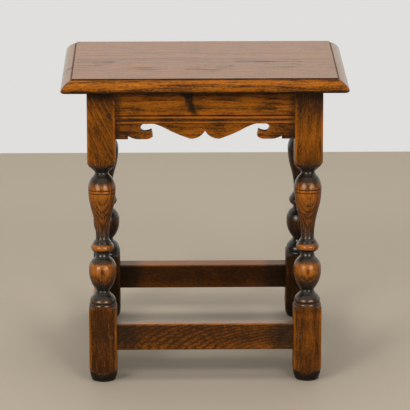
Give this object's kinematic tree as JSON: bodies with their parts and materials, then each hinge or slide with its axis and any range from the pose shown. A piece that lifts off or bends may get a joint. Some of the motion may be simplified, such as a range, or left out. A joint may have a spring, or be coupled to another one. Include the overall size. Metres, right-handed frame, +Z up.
{
  "type": "joint stool",
  "caption": "Oak joint stool with a moulded rectangular seat, turned and raked legs, shaped aprons, low stretchers and pegged joints.",
  "frame": {"origin": "on the floor under the middle of the seat: the bottom centre of the overall box", "axes": "+X to the right along the seat's length, +Y to the back, +Z up; the pictured face looks to -Y"},
  "size_m": [0.46, 0.3368, 0.5],
  "materials": {
    "seat_oak": "waxed, worn",
    "leg_oak": "dark antiqued stain, waxed",
    "apron_oak": "amber stain, waxed",
    "stretcher_oak": "dark stain, waxed",
    "peg_oak": "dark stain",
    "screw_steel": "dull"
  },
  "bodies": {
    "root": {"seat_top": "seat_oak", "leg_front_left": "leg_oak", "leg_front_right": "leg_oak", "leg_back_left": "leg_oak", "leg_back_right": "leg_oak", "apron_front": "apron_oak", "stretcher_front": "stretcher_oak", "screws_front": "screw_steel", "pegs_front_apron": "peg_oak", "pegs_front_stretcher": "peg_oak", "apron_back": "apron_oak", "stretcher_back": "stretcher_oak", "screws_back": "screw_steel", "pegs_back_apron": "peg_oak", "pegs_back_stretcher": "peg_oak", "apron_left": "apron_oak", "stretcher_left": "stretcher_oak", "screws_left": "screw_steel", "pegs_left_apron": "peg_oak", "pegs_left_stretcher": "peg_oak", "apron_right": "apron_oak", "stretcher_right": "stretcher_oak", "screws_right": "screw_steel", "pegs_right_apron": "peg_oak", "pegs_right_stretcher": "peg_oak"}
  },
  "joints": []
}
